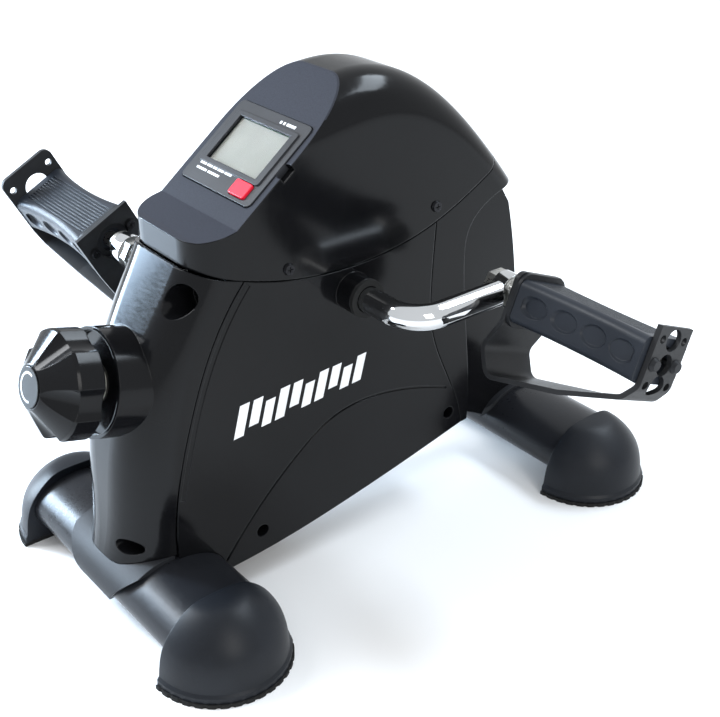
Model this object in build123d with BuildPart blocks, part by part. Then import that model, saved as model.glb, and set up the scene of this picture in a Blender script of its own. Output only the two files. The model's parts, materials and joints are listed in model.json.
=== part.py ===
"""Pedal exerciser: two-tube floor stand, moulded body, crank with two pedals, tension knob, counter.

Frame: X across the machine (right is +X), Y from the tension knob (-Y) to the rear tube (+Y),
Z up. The origin is on the floor, centred between the two stabiliser tubes. Millimetres.
"""
import os
from math import atan, cos, radians, sin, sqrt

from build123d import *

os.makedirs("parts", exist_ok=True)

# ---------------------------------------------------------------- driving dimensions
TUBE_Y = 158.0            # stabiliser tubes stand this far in front of and behind the origin
TUBE_HALF_W = 34.0        # oval tube: half width along Y
TUBE_HALF_H = 19.5        # and half height
TUBE_Z = 24.0             # height of the tube's centre
TUBE_WALL = 1.8
CAP_FACE_X = 84.5         # inner face of an end cap
CAP_R = 44.0              # radius of the half-dome cap
CAP_H = 48.5
SOCKET_DEPTH = 14.0
SOLE_T = 2.6
SCREW_X = CAP_FACE_X + 7.0     # screws that hold the caps, from below
SCREW_SHANK_R = 2.0
SCREW_HEAD_R = 4.0

BODY_W = 40.0             # half width of the plastic body
WALL = 2.5
SEAM_GAP = 0.4            # half of a visible seam between two covers

AXLE_Y = -24.0            # crank axis
AXLE_Z = 184.0
ROD_R = 8.0               # bent crank rod
ARM_X = 97.0              # plane in which the crank arms swing
CRANK_LEN = 76.0
BEND_R = 20.0
EYE_R = 11.0
EYE_T = 10.0
BOSS_R = 12.2             # round boss of the side shell around the crank rod
BOSS_X = 55.6

DRUM_R = 65.0
DRUM_HALF_W = 9.0
PLATE_X = 16.0            # inner face of a steel frame plate
PLATE_T = 3.0

PEDAL_IN = 122.0          # inner and outer end of a pedal body
PEDAL_OUT = 214.0
PEDAL_HALF_W = 21.0
PEDAL_HALF_H = 13.5
WAIST = 4.0               # how far each long side is drawn in at mid length
STRAP_T = 3.0
ROLL_RIGHT = -22.0        # how far each pedal is rolled about its spindle at rest
ROLL_LEFT = 28.0

KNOB_TILT = 15.0          # the tension screw points forwards and this much upwards
KNOB_R = 32.3
COLLAR_R = 32.5
COLLAR_FRONT = -1.4       # front and rear edge of the collar, along the knob axis
COLLAR_BACK = -31.4
SCREW_R = 4.0
RUNNING = 0.05            # radial clearance of a running fit

FACET_SLOPE = 0.80        # rise over run of the inclined console face
CONSOLE_W = 70.0
CONSOLE_L = 59.0
CONSOLE_T = 13.0

CASE_SCREWS = [(-95, 37), (62, 66)]         # long screws through both side shells, as (y, z)
EAR_SCREWS = [(-70.7, 211), (42.8, 222.5)]  # short screws through the hood into the shells' ears
HEAD_R = 3.8
SHANK_R = 1.9


# ---------------------------------------------------------------- helpers
def save(piece, node):
    """Label a finished piece and write its STEP file."""
    piece.part.label = node
    export_step(piece.part, f"parts/{node}.step")
    solids = piece.part.solids()
    print(f"{node:24s} solids {len(solids):3d} volume {piece.part.volume / 1000.0:9.2f} cm3")


def side_plane(x):
    """A plane facing +X at distance x, with the sketch axes along Y and Z."""
    return Plane(origin=(x, 0, 0), x_dir=(0, 1, 0), z_dir=(1, 0, 0))


def rod_between(start, end, radius):
    """Cylinder from one point to another, for algebra-mode use inside a builder."""
    axis = Vector(*end) - Vector(*start)
    base = Plane(origin=start, z_dir=axis)
    align = (Align.CENTER, Align.CENTER, Align.MIN)
    return base * Cylinder(radius, axis.length, align=align, mode=Mode.PRIVATE)


# ---------------------------------------------------------------- stabiliser tubes
def make_tube(node, y):
    with BuildPart() as tube:
        with BuildSketch(side_plane(0)):
            with Locations((y, TUBE_Z)):
                Ellipse(TUBE_HALF_W, TUBE_HALF_H)
                Ellipse(TUBE_HALF_W - TUBE_WALL, TUBE_HALF_H - TUBE_WALL, mode=Mode.SUBTRACT)
        extrude(amount=CAP_FACE_X + SOCKET_DEPTH - 0.2, both=True)
        with BuildSketch(Plane.XY):
            with Locations((SCREW_X, y), (-SCREW_X, y)):
                Circle(SCREW_SHANK_R + 0.05)
        extrude(amount=TUBE_Z, mode=Mode.SUBTRACT)
    save(tube, node)


make_tube("front_tube", -TUBE_Y)
make_tube("rear_tube", TUBE_Y)


# ---------------------------------------------------------------- end caps and soles
def make_cap(node, side, y):
    """Half-dome cap: a profile turned half way round the vertical axis at its inner face."""
    centre = side * CAP_FACE_X
    with BuildPart() as cap:
        with BuildSketch(Plane(origin=(centre, y, 0), x_dir=(0, 1, 0), z_dir=(1, 0, 0))):
            with BuildLine():
                rim = Polyline((0, SOLE_T), (CAP_R - 1.2, SOLE_T), (CAP_R - 1.2, 6), (CAP_R - 2.6, 8))
                Spline((CAP_R - 2.6, 8), (CAP_R - 7, 28), (CAP_R * 0.5, 44.5), (0, CAP_H),
                       tangents=((-0.12, 1), (-1, 0)))
                Line((0, CAP_H), (0, SOLE_T))
            make_face()
        revolve(axis=Axis((centre, y, 0), (0, 0, 1)), revolution_arc=-180 * side)
        with BuildSketch(side_plane(centre)):
            with Locations((y, TUBE_Z)):
                Ellipse(TUBE_HALF_W + 0.1, TUBE_HALF_H + 0.1)
        extrude(amount=side * SOCKET_DEPTH, mode=Mode.SUBTRACT)
        with BuildSketch(Plane.XY):
            with Locations((side * SCREW_X, y)):
                Circle(SCREW_SHANK_R + 0.05)
        extrude(amount=TUBE_Z, mode=Mode.SUBTRACT)
    save(cap, node)


make_cap("cap_front_right", 1, -TUBE_Y)
make_cap("cap_front_left", -1, -TUBE_Y)
make_cap("cap_rear_right", 1, TUBE_Y)
make_cap("cap_rear_left", -1, TUBE_Y)

CAPS = [(1, -TUBE_Y), (-1, -TUBE_Y), (1, TUBE_Y), (-1, TUBE_Y)]
SCALLOPS = 17

with BuildPart() as soles:
    for side, y in CAPS:
        with BuildSketch(Plane.XY):
            with Locations((side * CAP_FACE_X, y)):
                Circle(CAP_R)
                with Locations((-side * CAP_R, 0)):
                    Rectangle(2 * CAP_R, 2 * CAP_R, mode=Mode.SUBTRACT)
                with PolarLocations(CAP_R + 1.2, SCALLOPS, -84 if side > 0 else 96, 168):
                    Circle(2.0, mode=Mode.SUBTRACT)
            with Locations((side * SCREW_X, y)):
                Circle(SCREW_HEAD_R + 0.3, mode=Mode.SUBTRACT)
        extrude(amount=SOLE_T - 0.05)
save(soles, "cap_soles")

with BuildPart() as cap_screws:
    for side, y in CAPS:
        with BuildSketch(Plane.XY.offset(0.8)):
            with Locations((side * SCREW_X, y)):
                Circle(SCREW_HEAD_R)
                RegularPolygon(1.6, 6, mode=Mode.SUBTRACT)
        extrude(amount=1.75)
        with BuildSketch(Plane.XY.offset(2.0)):
            with Locations((side * SCREW_X, y)):
                Circle(SCREW_SHANK_R)
        extrude(amount=10)
save(cap_screws, "cap_screws")


# ---------------------------------------------------------------- body outlines, as (y, z)
SEAM = [(-131, 222.5), (-101.8, 212), (-62.3, 202.5), (-27.9, 200), (14.4, 204), (42.8, 212), (80.9, 230.5),
        (106, 246)]
FRONT_BEAD = [(-101.8, 212), (-125.5, 176), (-141, 136), (-153.5, 86), (-156, 40)]
REAR_BEAD = [(43.5, 212.2), (41.5, 172), (44, 135), (60, 95), (74, 54)]
ARCH = [(-131, 256), (-112, 281), (-80, 299), (-50, 306.5), (-20, 311.5), (2, 312.5), (36, 303), (80, 269),
        (108, 238), (124, 217), (135, 196)]
SPINE_REAR = [(135, 196), (147, 136), (152.5, 86), (154.5, 61), (154.5, 44)]
BODY_ROUND = 27.0         # radius along the top edges of the hood
CORE_FLOOR = 150.0
FRONT_Y = -131.0
FACET_FOOT = (-105.0, 243.0)
FACET_TOP_Y = -19.0
SHELF_Z = 238.5           # height of the shelf's front edge


def arch_core(inset):
    """The body's upper part as one rounded solid, every outer face moved inwards by inset."""
    half = BODY_W - inset
    round_r = BODY_ROUND - inset
    with BuildPart() as core:
        for y, z in ARCH:
            top = z - inset
            with BuildSketch(Plane(origin=(0, y, 0), x_dir=(1, 0, 0), z_dir=(0, -1, 0))):
                with BuildLine():
                    FilletPolyline((half, CORE_FLOOR), (half, top), (-half, top), (-half, CORE_FLOOR),
                                   radius=round_r)
                    Line((-half, CORE_FLOOR), (half, CORE_FLOOR))
                make_face()
        loft()
        with BuildSketch(Plane.XY.offset(CORE_FLOOR)):
            with BuildLine():
                FilletPolyline((half, 135 - inset), (half, FRONT_Y + inset), (-half, FRONT_Y + inset),
                               (-half, 135 - inset), radius=22 - inset)
                Line((-half, 135 - inset), (half, 135 - inset))
            make_face()
        extrude(amount=200, mode=Mode.INTERSECT)
    return core.part


def above(curve, lift, y_front, y_rear, top=340):
    """Sketch outline between a curve raised by lift and a level line well above it."""
    with BuildSketch(side_plane(0)) as region:
        with BuildLine():
            Spline([(y, z + lift) for y, z in curve])
            Polyline((curve[-1][0], curve[-1][1] + lift), (y_rear, curve[-1][1] + lift), (y_rear, top),
                     (y_front, top), (y_front, curve[0][1] + lift), (curve[0][0], curve[0][1] + lift))
        make_face()
    return region.sketch


ARCH_OUTER = arch_core(0)
ARCH_INNER = arch_core(WALL)

# the inclined face that carries the console
FACET_ANGLE = atan(FACET_SLOPE)
FACET_NORMAL = (0, -sin(FACET_ANGLE), cos(FACET_ANGLE))
CONSOLE_Y = -70.7
CONSOLE_Z = FACET_FOOT[1] + FACET_SLOPE * (CONSOLE_Y - FACET_FOOT[0])
FACET_TOP_Z = FACET_FOOT[1] + FACET_SLOPE * (FACET_TOP_Y - FACET_FOOT[0])


def console_plane(height):
    """Plane parallel to the inclined face, height above it, with sketch Y up the slope."""
    base = Plane(origin=(0, CONSOLE_Y, CONSOLE_Z), x_dir=(1, 0, 0), z_dir=FACET_NORMAL)
    return base.offset(height)


def facet_cutter(drop):
    """Everything above the shelf and the inclined face, lowered by drop along Z."""
    with BuildPart() as cutter:
        with BuildSketch(side_plane(0)):
            with BuildLine():
                Polyline((-150, SHELF_Z - drop), (-126, SHELF_Z - drop), (FACET_FOOT[0], FACET_FOOT[1] - drop),
                         (0, FACET_FOOT[1] - FACET_SLOPE * FACET_FOOT[0] - drop), (0, 345), (-150, 345),
                         (-150, SHELF_Z - drop))
            make_face()
        extrude(amount=60, both=True)
    return cutter.part


TRAY_W = CONSOLE_W + 1.0
TRAY_L = CONSOLE_L + 1.0
TRAY_FLOOR = -(CONSOLE_T - 0.8) - 0.3      # the console rests 0.3 mm above this level
FINGER_NOTCH_R = 5.0

with BuildPart() as hood:
    add(ARCH_OUTER - facet_cutter(0))
    add(ARCH_INNER - facet_cutter(WALL * 1.28), mode=Mode.SUBTRACT)
    with BuildSketch(console_plane(TRAY_FLOOR - 2)):
        RectangleRounded(TRAY_W + 4, TRAY_L + 4, 5)
    extrude(amount=-TRAY_FLOOR + 0.5)
    with BuildSketch(console_plane(TRAY_FLOOR)):
        RectangleRounded(TRAY_W, TRAY_L, 4)
    extrude(amount=30, mode=Mode.SUBTRACT)
    with BuildSketch(console_plane(-4)):
        with Locations((BODY_W - 1.5, -1)):
            Circle(FINGER_NOTCH_R)
    extrude(amount=12, mode=Mode.SUBTRACT)
    add(extrude(above(SEAM, SEAM_GAP, -160, 160), amount=60, both=True, mode=Mode.PRIVATE), mode=Mode.INTERSECT)
    with BuildSketch(side_plane(0)):
        with Locations(*EAR_SCREWS):
            Circle(SHANK_R + 0.05)
    extrude(amount=60, both=True, mode=Mode.SUBTRACT)
save(hood, "hood")


# ---------------------------------------------------------------- shared shapes around the tubes
SADDLE_T = 3.0            # plastic saddle between a tube and the body


def tube_cutter(y, margin):
    """A stabiliser tube's outer shape, larger all round by margin."""
    with BuildPart() as cutter:
        with BuildSketch(side_plane(0)):
            with Locations((y, TUBE_Z)):
                Ellipse(TUBE_HALF_W + margin, TUBE_HALF_H + margin)
        extrude(amount=130, both=True)
    return cutter.part


FRONT_TUBE_FIT = tube_cutter(-TUBE_Y, 0.1)
REAR_TUBE_FIT = tube_cutter(TUBE_Y, 0.1)
FRONT_SADDLE_OUT = tube_cutter(-TUBE_Y, SADDLE_T)
REAR_SADDLE_OUT = tube_cutter(TUBE_Y, SADDLE_T)

with BuildPart() as front_saddle:
    add(FRONT_SADDLE_OUT)
    with BuildSketch(Plane(origin=(0, -TUBE_Y, 0), x_dir=(1, 0, 0), z_dir=(0, -1, 0))):
        with BuildLine():
            Polyline((-38.5, 48), (-38.5, 40), (-29.5, 31), (-17, 17))
            ThreePointArc((-17, 17), (0, 9), (17, 17))
            Polyline((17, 17), (29.5, 31), (38.5, 40), (38.5, 48), (-38.5, 48))
        make_face()
    extrude(amount=60, mode=Mode.INTERSECT)
    add(FRONT_TUBE_FIT, mode=Mode.SUBTRACT)
save(front_saddle, "front_saddle")

with BuildPart() as rear_saddle:
    add(REAR_SADDLE_OUT)
    with BuildSketch(Plane.XY.offset(TUBE_Z)):
        with Locations((0, TUBE_Y - 12)):
            RectangleRounded(36, 44, 8)
    extrude(amount=40, mode=Mode.INTERSECT)
    add(REAR_TUBE_FIT, mode=Mode.SUBTRACT)
    with BuildSketch(Plane.XY.offset(TUBE_Z)):
        with Locations((0, 142)):
            Rectangle(20.6, 14.6)
    extrude(amount=40, mode=Mode.SUBTRACT)
save(rear_saddle, "rear_saddle")


# ---------------------------------------------------------------- side shells
SHELL_FLANGE = 9.0        # how far the shell's rim reaches inwards from its face
CASE_BOSS_R = 6.5
ARC_GROOVE = [(-123, 26), (-96, 57), (-64, 85), (-41, 99), (0.6, 103), (59, 87)]     # shallow line, as (y, z)
ARC_GROOVE_W = 1.6
ARC_GROOVE_DEPTH = 0.8
CHANNEL_W = 3.2           # shallow channel that follows the bead of the front cover
CHANNEL_DEPTH = 0.5
CHANNEL_SHIFT = 3.0


def shell_outline(shrink):
    """Side shell outline; shrink pulls the seam and the beads inwards."""
    top = [(y, z - SEAM_GAP - shrink) for y, z in SEAM[1:6]]
    top[0] = (top[0][0] + SEAM_GAP + shrink, top[0][1])
    top[-1] = (REAR_BEAD[0][0] - SEAM_GAP - shrink, top[-1][1])
    rear = [top[-1]] + [(y - SEAM_GAP - shrink, z) for y, z in REAR_BEAD[1:-1]]
    rear.append((REAR_BEAD[-1][0] - shrink, REAR_BEAD[-1][1] + shrink))
    front = [top[0]] + [(y + SEAM_GAP + shrink, z) for y, z in FRONT_BEAD[1:]]
    bottom_front = (-118, 19.5 + shrink)
    with BuildSketch(side_plane(0)) as outline:
        with BuildLine():
            Spline(top)
            Spline(rear)
            Spline([rear[-1], (-20, 33 + shrink), bottom_front], tangents=((-1, -0.25), (-1, -0.05)))
            Line(bottom_front, (-134, 19.5 + shrink))
            Line((-134, 19.5 + shrink), front[-1])
            Spline(front)
        make_face()
    return outline.sketch


def make_side_shell(node, side):
    with BuildPart() as shell:
        extrude(shell_outline(0), amount=side * BODY_W)
        extrude(shell_outline(WALL), amount=side * (BODY_W - WALL), mode=Mode.SUBTRACT)
        with BuildSketch(side_plane(0)):                    # keep only a rim above the floor
            with BuildLine():
                Polyline((-200, 26), (-120, 27), (-60, 36), (78, 60), (150, 84), (150, 260), (-200, 260),
                         (-200, 26))
            make_face()
        extrude(amount=side * (BODY_W - SHELL_FLANGE), mode=Mode.SUBTRACT)
        with BuildSketch(side_plane(side * 0.1)):
            with Locations(*CASE_SCREWS):
                Circle(CASE_BOSS_R)
        extrude(amount=side * (BODY_W - WALL))
        for y, z in EAR_SCREWS:
            with BuildSketch(side_plane(side * (BODY_W - WALL - 0.1))):
                with Locations((y, z - 6)):
                    Rectangle(13, 24)
            extrude(amount=-side * 4)
        with BuildSketch(side_plane(side * (BODY_W - WALL))):
            with Locations((AXLE_Y, AXLE_Z)):
                Circle(BOSS_R)
        extrude(amount=side * (BOSS_X - 2.8 - BODY_W + WALL))
        with BuildSketch(side_plane(side * 20)):
            with Locations((AXLE_Y, AXLE_Z)):
                Circle(ROD_R + 1.4)
        extrude(amount=side * 60, mode=Mode.SUBTRACT)
        with BuildSketch(side_plane(0)):
            with Locations(*CASE_SCREWS):
                Circle(SHANK_R + 0.05)
        extrude(amount=side * 22.1, mode=Mode.SUBTRACT)
        if side > 0:
            with BuildSketch(side_plane(22)):
                with Locations(*CASE_SCREWS):
                    Circle(HEAD_R + 0.6)
            extrude(amount=60, mode=Mode.SUBTRACT)
        with BuildSketch(side_plane(side * 20)):
            with Locations(*EAR_SCREWS):
                Circle(SHANK_R + 0.05)
        extrude(amount=side * 60, mode=Mode.SUBTRACT)
        with BuildSketch(side_plane(side * BODY_W)):
            with BuildLine():
                Spline(ARC_GROOVE)
            trace(line_width=ARC_GROOVE_W)
        extrude(amount=-side * ARC_GROOVE_DEPTH, mode=Mode.SUBTRACT)
        with BuildSketch(side_plane(side * BODY_W)):
            with BuildLine():
                Spline([(y + CHANNEL_SHIFT, z - CHANNEL_SHIFT) for y, z in FRONT_BEAD[:-1]])
            trace(line_width=CHANNEL_W)
        extrude(amount=-side * CHANNEL_DEPTH, mode=Mode.SUBTRACT)
        add(tube_cutter(-TUBE_Y, 0.2), mode=Mode.SUBTRACT)
    save(shell, node)


make_side_shell("side_shell_right", 1)
make_side_shell("side_shell_left", -1)


# ---------------------------------------------------------------- front cover
# every plan section of the front cover: how far forward it reaches, its height, its corner radius
FRONT_PROFILE = [(-130, 230, 22), (-144, 203, 23), (-166, 161, 27), (-180, 107, 32), (-191, 30, 38)]
FRONT_BACK_Y = -95.0
KNOB_AXIS_POINT = (0, -183.6, 157.4)
KNOB_DIR = (0, -cos(radians(KNOB_TILT)), sin(radians(KNOB_TILT)))
COLLAR_FLOOR = -5.0       # front face of the wall at the bottom of the knob's collar
COLLAR_T = 3.0
BUSHING_R = 8.0
# blind sockets in the cover: X and Z of the centre, half width, half height, Y of the bottom
RECESSES = [(28.5, 206.0, 8.5, 9.5, -123.0), (22.0, 53.0, 8.5, 5.0, -166.0)]
RECESS_MOUTH = 60.0
RECESS_WALL = 1.5


def knob_plane(height):
    """Plane square to the knob axis, height in front of the knob's reference point."""
    return Plane(origin=KNOB_AXIS_POINT, x_dir=(1, 0, 0), z_dir=KNOB_DIR).offset(height)


def front_solid(inset):
    """Front cover as a solid, lofted through its plan sections."""
    half = BODY_W - inset
    with BuildPart() as solid:
        for y, z, corner in FRONT_PROFILE:
            front = y + inset
            with BuildSketch(Plane.XY.offset(z)):
                with BuildLine():
                    FilletPolyline((half, FRONT_BACK_Y), (half, front), (-half, front), (-half, FRONT_BACK_Y),
                                   radius=corner - inset)
                    Line((half, FRONT_BACK_Y), (-half, FRONT_BACK_Y))
                make_face()
        loft()
    return solid.part


def front_region():
    """Side view of the front cover: in front of the bead, below the seam with the hood."""
    with BuildSketch(side_plane(0)) as region:
        bead = [(y - SEAM_GAP, z) for y, z in FRONT_BEAD]
        with BuildLine():
            Spline(bead)
            Polyline(bead[-1], (-210, 40), (-210, 226), (-132, 222.5 - SEAM_GAP))
            Spline((-132, 222.5 - SEAM_GAP), (-118, 217.3 - SEAM_GAP), bead[0])
        make_face()
    return region.sketch


FRONT_BLOCK = front_solid(0)


def front_socket(x, z, half_w, half_h, y_bottom):
    """Oval prism along -Y, from y_bottom out through the front cover."""
    base = Plane(origin=(x, y_bottom, z), x_dir=(1, 0, 0), z_dir=(0, -1, 0))
    return extrude(base * Ellipse(half_w, half_h), amount=RECESS_MOUTH)


SOCKET_WALLS = [front_socket(x, z, w + RECESS_WALL, h + RECESS_WALL, y + RECESS_WALL) & FRONT_BLOCK
                for x, z, w, h, y in RECESSES]
SOCKET_HOLES = [front_socket(*recess) for recess in RECESSES]

with BuildPart() as front_cover:
    add(FRONT_BLOCK)
    add(extrude(front_region(), amount=60, both=True, mode=Mode.PRIVATE), mode=Mode.INTERSECT)
    add(front_solid(WALL), mode=Mode.SUBTRACT)
    add(SOCKET_WALLS)
    add(SOCKET_HOLES, mode=Mode.SUBTRACT)
    with BuildSketch(knob_plane(COLLAR_BACK)):
        Circle(COLLAR_R)
    extrude(amount=COLLAR_FRONT - COLLAR_BACK)
    with BuildSketch(knob_plane(COLLAR_FLOOR)):
        Circle(COLLAR_R - 2.2)
    extrude(amount=30, mode=Mode.SUBTRACT)
    with BuildSketch(knob_plane(COLLAR_FLOOR - COLLAR_T)):
        Circle(COLLAR_R - 2.2)
    extrude(amount=-60, mode=Mode.SUBTRACT)
    with BuildSketch(knob_plane(-20)):
        Circle(BUSHING_R + RUNNING)
    extrude(amount=30, mode=Mode.SUBTRACT)
    add(tube_cutter(-TUBE_Y, SADDLE_T + 0.05), mode=Mode.SUBTRACT)
save(front_cover, "front_cover")


# ---------------------------------------------------------------- rear cover
POCKET = [(80, 54.5), (78, 100), (71.6, 152.5), (69.8, 179.5), (72.5, 199.5), (93, 217.6), (118, 222),
          (134, 200)]     # edge where the full-width body ends and the narrow spine begins
SPINE_HALF = 13.5
SPINE_FOOT_Y = 76.0
SPINE_INSIDE_Y = 66.0     # the hollow of the spine opens into the full-width part from here


def rear_region(bead_shift, pocket_shift):
    """Side view of the full-width part of the rear cover."""
    with BuildSketch(side_plane(0)) as region:
        bead = [(y + bead_shift, z) for y, z in REAR_BEAD]
        pocket = [(y - pocket_shift, z) for y, z in POCKET]
        with BuildLine():
            Spline(bead)
            Line(bead[-1], pocket[0])
            Spline(pocket)
            Line(pocket[-1], (160, 260))
            Line((160, 260), (bead[0][0], 260))
            Line((bead[0][0], 260), bead[0])
        make_face()
    return region.sketch


def spine_region(shift, foot_y):
    """Side view of the narrow spine behind the pocket, down to the rear tube."""
    with BuildSketch(side_plane(0)) as region:
        edge = [(y - shift, z) for y, z in SPINE_REAR]
        with BuildLine():
            Spline(edge)
            Polyline(edge[-1], (154.5 - shift, 30), (122, 30), (foot_y, 53), (foot_y, 230),
                     (100, 250 - shift), edge[0])
        make_face()
    return region.sketch


def full_width(region, half, core):
    """Full-width body: flat sided up to the core's floor, rounded like the core above it."""
    slab = extrude(region, amount=half, both=True, mode=Mode.PRIVATE)
    low = slab & (Pos(0, 0, CORE_FLOOR / 2) * Box(200, 500, CORE_FLOOR + 0.02, mode=Mode.PRIVATE))
    return (slab & core) + low


HOOD_SPACE = extrude(above(SEAM, -SEAM_GAP, -160, 160), amount=60, both=True)

with BuildPart() as rear_cover:
    add(full_width(rear_region(SEAM_GAP, 0), BODY_W, ARCH_OUTER))
    extrude(spine_region(0, SPINE_FOOT_Y), amount=SPINE_HALF, both=True)
    add(full_width(rear_region(-5, WALL), BODY_W - WALL, ARCH_INNER), mode=Mode.SUBTRACT)
    extrude(spine_region(WALL, SPINE_INSIDE_Y), amount=SPINE_HALF - WALL, both=True, mode=Mode.SUBTRACT)
    add(HOOD_SPACE, mode=Mode.SUBTRACT)
    add(tube_cutter(TUBE_Y, SADDLE_T + 0.05), mode=Mode.SUBTRACT)
save(rear_cover, "rear_cover")


# ---------------------------------------------------------------- steel frame inside the covers
PLATE_OUTLINE = [(-157.5, 62), (-172, 84), (-157, 152), (-138, 168), (-104, 200), (-66, 244), (-46, 256),
                 (-34, 256), (-20, 214), (0, 212), (66, 150), (68, 112), (60, 96), (38, 96), (-60, 96),
                 (-100, 62), (-128, 30), (-157.5, 30), (-157.5, 62)]
PLATE_HOLES = [(-134, 96, 15), (22, 128, 12), (-58, 118, 10)]     # y, z and radius of lightening holes
STRUT_OUTLINE = [(136, 30), (136, 98), (38, 98), (38, 118), (143, 118), (148, 86), (149, 60), (149, 30),
                 (136, 30)]
STRUT_INSIDE = [(138, 20), (138, 100), (30, 100), (30, 116), (141.4, 116), (146, 86), (147, 60), (147, 20),
                (138, 20)]
STRUT_HALF = 10.0
FRAME_BOLTS = [(-148, 53), (-104, 118), (-108, 172)]     # through spacers of full width
STRUT_BOLTS = [(44, 108), (60, 108)]
BOLT_R = 3.0
SPACER_R = 6.0
CUP_R = 17.0
BEARING_R = 14.0


def make_frame_plate(node, side):
    with BuildPart() as plate:
        with BuildSketch(side_plane(side * PLATE_X)):
            with BuildLine():
                Polyline(PLATE_OUTLINE)
            make_face()
            for y, z, radius in PLATE_HOLES:
                with Locations((y, z)):
                    Circle(radius, mode=Mode.SUBTRACT)
            with Locations(*FRAME_BOLTS, *STRUT_BOLTS):
                Circle(BOLT_R + 0.05, mode=Mode.SUBTRACT)
            with Locations((AXLE_Y, AXLE_Z)):
                Circle(CUP_R + 0.02, mode=Mode.SUBTRACT)
        extrude(amount=side * PLATE_T)
        with BuildSketch(knob_plane(COLLAR_BACK - 1)):
            Circle(COLLAR_R + 1)
        extrude(amount=40, mode=Mode.SUBTRACT)
        add(tube_cutter(-TUBE_Y, 0.02), mode=Mode.SUBTRACT)
    save(plate, node)


make_frame_plate("frame_plate_right", 1)
make_frame_plate("frame_plate_left", -1)

with BuildPart() as rear_strut:
    with BuildSketch(side_plane(0)):
        with BuildLine():
            Polyline(STRUT_OUTLINE)
        make_face()
    extrude(amount=STRUT_HALF, both=True)
    with BuildSketch(side_plane(0)):
        with BuildLine():
            Polyline(STRUT_INSIDE)
        make_face()
    extrude(amount=STRUT_HALF - 2, both=True, mode=Mode.SUBTRACT)
    with BuildSketch(side_plane(0)):
        with Locations(*STRUT_BOLTS):
            Circle(BOLT_R + 0.05)
    extrude(amount=40, both=True, mode=Mode.SUBTRACT)
    add(tube_cutter(TUBE_Y, 0.02), mode=Mode.SUBTRACT)
save(rear_strut, "rear_strut")

with BuildPart() as frame_spacers:
    with BuildSketch(side_plane(0)):
        with Locations(*FRAME_BOLTS):
            Circle(SPACER_R)
            Circle(BOLT_R + 0.05, mode=Mode.SUBTRACT)
    extrude(amount=PLATE_X - 0.02, both=True)
    for side in (1, -1):
        with BuildSketch(side_plane(side * (STRUT_HALF + 0.02))):
            with Locations(*STRUT_BOLTS):
                Circle(SPACER_R)
                Circle(BOLT_R + 0.05, mode=Mode.SUBTRACT)
        extrude(amount=side * (PLATE_X - STRUT_HALF - 0.04))
save(frame_spacers, "frame_spacers")

with BuildPart() as frame_bolts:
    for y, z in FRAME_BOLTS + STRUT_BOLTS:
        with BuildSketch(side_plane(-PLATE_X - PLATE_T - 6)):
            with Locations((y, z)):
                Circle(BOLT_R)
        extrude(amount=2 * (PLATE_X + PLATE_T) + 6.5)
        for x in (-PLATE_X - PLATE_T - 4.6, PLATE_X + PLATE_T + 0.02):
            with BuildSketch(side_plane(x)):
                with Locations((y, z)):
                    RegularPolygon(5.6, 6)
            extrude(amount=4.5)
save(frame_bolts, "frame_bolts")

with BuildPart() as bearing_cups:
    for side in (1, -1):
        with BuildSketch(side_plane(side * 13)):
            with Locations((AXLE_Y, AXLE_Z)):
                Circle(CUP_R)
                Circle(BEARING_R + 0.02, mode=Mode.SUBTRACT)
        extrude(amount=side * 12)
        with BuildSketch(side_plane(side * (PLATE_X + PLATE_T + 0.02))):
            with Locations((AXLE_Y, AXLE_Z)):
                Circle(CUP_R + 5)
                Circle(BEARING_R + 0.02, mode=Mode.SUBTRACT)
        extrude(amount=side * 2)
save(bearing_cups, "bearing_cups")

with BuildPart() as crank_bearings:
    for side in (1, -1):
        with BuildSketch(side_plane(side * 14)):
            with Locations((AXLE_Y, AXLE_Z)):
                Circle(BEARING_R)
                Circle(ROD_R + RUNNING, mode=Mode.SUBTRACT)
        extrude(amount=side * 10)
        for x in (side * 14, side * 24):
            with BuildSketch(side_plane(x)):
                with Locations((AXLE_Y, AXLE_Z)):
                    Circle(12.4)
                    Circle(10, mode=Mode.SUBTRACT)
            extrude(amount=side * (1 if abs(x) < 20 else -1), mode=Mode.SUBTRACT)
save(crank_bearings, "crank_bearings")

with BuildPart() as dust_seals:
    for side in (1, -1):
        with BuildSketch(side_plane(side * (BOSS_X - 2.6))):
            with Locations((AXLE_Y, AXLE_Z)):
                Circle(BOSS_R)
                Circle(ROD_R + 0.4, mode=Mode.SUBTRACT)
        extrude(amount=side * 2.6)
        with BuildSketch(side_plane(side * (BOSS_X - 6))):
            with Locations((AXLE_Y, AXLE_Z)):
                Circle(ROD_R + 1.35)
                Circle(ROD_R + 0.4, mode=Mode.SUBTRACT)
        extrude(amount=side * 3.4)
save(dust_seals, "dust_seals")


# ---------------------------------------------------------------- screws of the covers
with BuildPart() as case_screws:
    for y, z in CASE_SCREWS:
        with BuildSketch(side_plane(-16)):
            with Locations((y, z)):
                Circle(SHANK_R)
        extrude(amount=39)
        with BuildSketch(side_plane(22.1)):
            with Locations((y, z)):
                Circle(HEAD_R)
        extrude(amount=2.6)
        with BuildSketch(side_plane(23.4)):
            with Locations((y, z)):
                Rectangle(4.2, 0.9)
                Rectangle(0.9, 4.2)
        extrude(amount=2, mode=Mode.SUBTRACT)
    for side in (1, -1):
        for y, z in EAR_SCREWS:
            with BuildSketch(side_plane(side * 31)):
                with Locations((y, z)):
                    Circle(SHANK_R)
            extrude(amount=side * (BODY_W - 31))
            with BuildSketch(side_plane(side * (BODY_W + 0.02))):
                with Locations((y, z)):
                    Circle(HEAD_R)
            extrude(amount=side * 1.6, taper=20)
            with BuildSketch(side_plane(side * (BODY_W + 0.8))):
                with Locations((y, z)):
                    Rectangle(3.6, 0.8)
                    Rectangle(0.8, 3.6)
            extrude(amount=side * 3, mode=Mode.SUBTRACT)
save(case_screws, "case_screws")


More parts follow.
